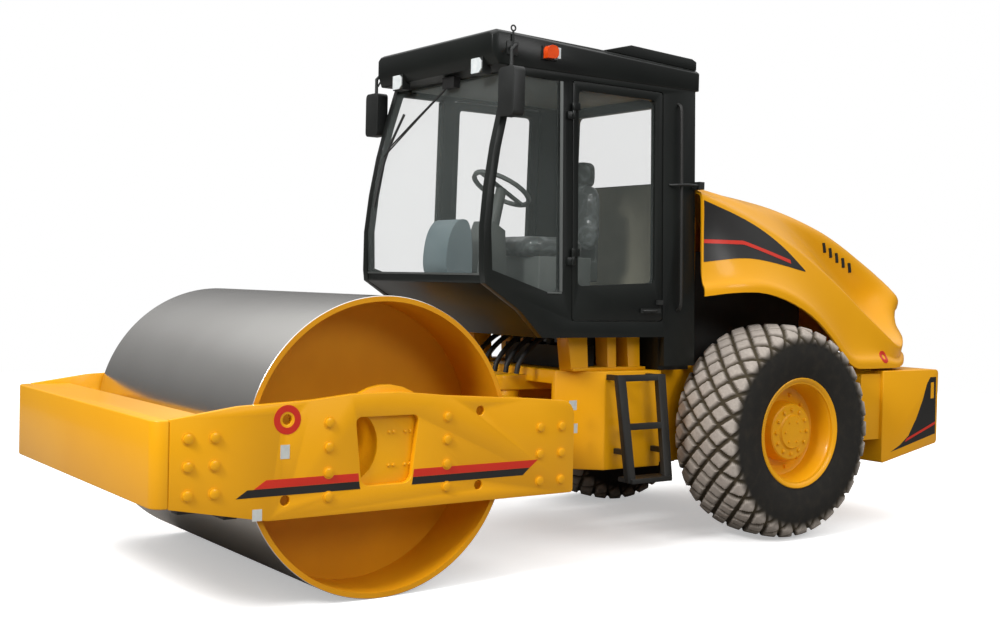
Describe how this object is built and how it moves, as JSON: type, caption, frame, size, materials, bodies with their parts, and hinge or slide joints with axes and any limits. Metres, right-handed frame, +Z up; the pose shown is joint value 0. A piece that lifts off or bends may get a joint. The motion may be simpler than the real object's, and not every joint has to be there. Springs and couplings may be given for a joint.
{
  "type": "single-drum road roller",
  "caption": "Articulated single-drum soil compactor with a smooth steel drum, closed cab, rear tyres, swing doors and a tilting bonnet.",
  "frame": {"origin": "bottom centre of the whole machine's box, on the floor", "axes": "+Z up, -Y towards the drum, +X to the machine's left"},
  "size_m": [2.3, 6.13, 3.222],
  "materials": {
    "yellow_enamel": "gloss sprayed enamel",
    "drum_steel": "turned rolling surface",
    "black_enamel": "satin black",
    "tyre_rubber": "matte",
    "chromed_rod": "hard chrome",
    "cab_glass": "clear",
    "seat_cloth": "woven",
    "grey_plastic": "moulded",
    "engine_iron": "as cast, painted"
  },
  "bodies": {
    "rear_frame": {"rear_frame": "yellow_enamel", "rear_axle": "yellow_enamel", "counterweight": "yellow_enamel", "engine_block": "engine_iron", "bulkhead": "yellow_enamel", "cab_mount_left": "yellow_enamel", "cab_mount_right": "yellow_enamel", "cab_floor": "black_enamel", "cab_side_left": "black_enamel", "cab_side_right": "black_enamel", "cab_rear_wall": "black_enamel", "roof": "black_enamel", "roof_unit": "black_enamel", "windscreen": "cab_glass", "quarter_glass_left": "cab_glass", "quarter_glass_right": "cab_glass", "rear_glass": "cab_glass", "seat_base": "grey_plastic", "seat_cushion": "seat_cloth", "seat_back": "seat_cloth", "steering_column": "grey_plastic", "mirror_left": "black_enamel", "mirror_right": "black_enamel", "ladder_left": "black_enamel", "ladder_right": "black_enamel"},
    "front_frame": {"front_beam": "yellow_enamel", "side_plate_left": "yellow_enamel", "side_plate_right": "yellow_enamel", "rear_beam": "yellow_enamel", "hitch": "yellow_enamel", "drum_carrier_left": "yellow_enamel", "drum_carrier_right": "yellow_enamel", "scraper_front": "black_enamel", "scraper_rear": "black_enamel"},
    "drum": {"drum_shell": "drum_steel", "drum_head_left": "yellow_enamel", "drum_head_right": "yellow_enamel"},
    "wheel_left": {"rim_left": "yellow_enamel", "tyre_left": "tyre_rubber"},
    "wheel_right": {"rim_right": "yellow_enamel", "tyre_right": "tyre_rubber"},
    "door_left": {"door_left": "black_enamel", "door_glass_left": "cab_glass"},
    "door_right": {"door_right": "black_enamel", "door_glass_right": "cab_glass"},
    "hood": {"hood": "yellow_enamel"},
    "cylinder_left": {"steering_barrel_left": "black_enamel"},
    "cylinder_right": {"steering_barrel_right": "black_enamel"},
    "rod_left": {"steering_rod_left": "chromed_rod"},
    "rod_right": {"steering_rod_right": "chromed_rod"}
  },
  "joints": [
    {"name": "articulation_steer", "type": "hinge", "parent": "rear_frame", "child": "front_frame", "pos_m": [0, -0.285, 0.85], "axis": [0, 0, 1], "range_deg": [-33, 33]},
    {"name": "drum_roll", "type": "hinge", "parent": "front_frame", "child": "drum", "pos_m": [0, -1.785, 0.8], "axis": [1, 0, 0], "continuous": true},
    {"name": "wheel_left_roll", "type": "hinge", "parent": "rear_frame", "child": "wheel_left", "pos_m": [0.875, 1.415, 0.72], "axis": [1, 0, 0], "continuous": true},
    {"name": "wheel_right_roll", "type": "hinge", "parent": "rear_frame", "child": "wheel_right", "pos_m": [-0.875, 1.415, 0.72], "axis": [1, 0, 0], "continuous": true},
    {"name": "door_left_swing", "type": "hinge", "parent": "rear_frame", "child": "door_left", "pos_m": [0.75, -0.254, 1.35], "axis": [0.0315, 0, -0.9995], "range_deg": [0, 95]},
    {"name": "door_right_swing", "type": "hinge", "parent": "rear_frame", "child": "door_right", "pos_m": [-0.75, -0.254, 1.35], "axis": [0.0315, 0, 0.9995], "range_deg": [0, 95]},
    {"name": "hood_tilt", "type": "hinge", "parent": "rear_frame", "child": "hood", "pos_m": [0, 3.035, 1.15], "axis": [-1, 0, 0], "range_deg": [0, 45]},
    {"name": "cylinder_left_swing", "type": "hinge", "parent": "rear_frame", "child": "cylinder_left", "pos_m": [0.28, 0.415, 0.575], "axis": [0, 0, 1], "range_deg": [-6.13, 6.13]},
    {"name": "rod_left_slide", "type": "slide", "parent": "cylinder_left", "child": "rod_left", "axis": [0.023, -0.9997, 0], "range_m": [-0.16561, 0.16561]},
    {"name": "cylinder_right_swing", "type": "hinge", "parent": "rear_frame", "child": "cylinder_right", "pos_m": [-0.28, 0.415, 0.575], "axis": [0, 0, 1], "range_deg": [-6.13, 6.13]},
    {"name": "rod_right_slide", "type": "slide", "parent": "cylinder_right", "child": "rod_right", "axis": [-0.023, -0.9997, 0], "range_m": [-0.16561, 0.16561]}
  ],
  "couplings": [
    {"joint": "cylinder_left_swing", "follows": "articulation_steer", "ratio": 0.1857},
    {"joint": "rod_left_slide", "follows": "articulation_steer", "m_per_rad": -0.2874},
    {"joint": "cylinder_right_swing", "follows": "articulation_steer", "ratio": 0.1857},
    {"joint": "rod_right_slide", "follows": "articulation_steer", "m_per_rad": 0.2874}
  ]
}
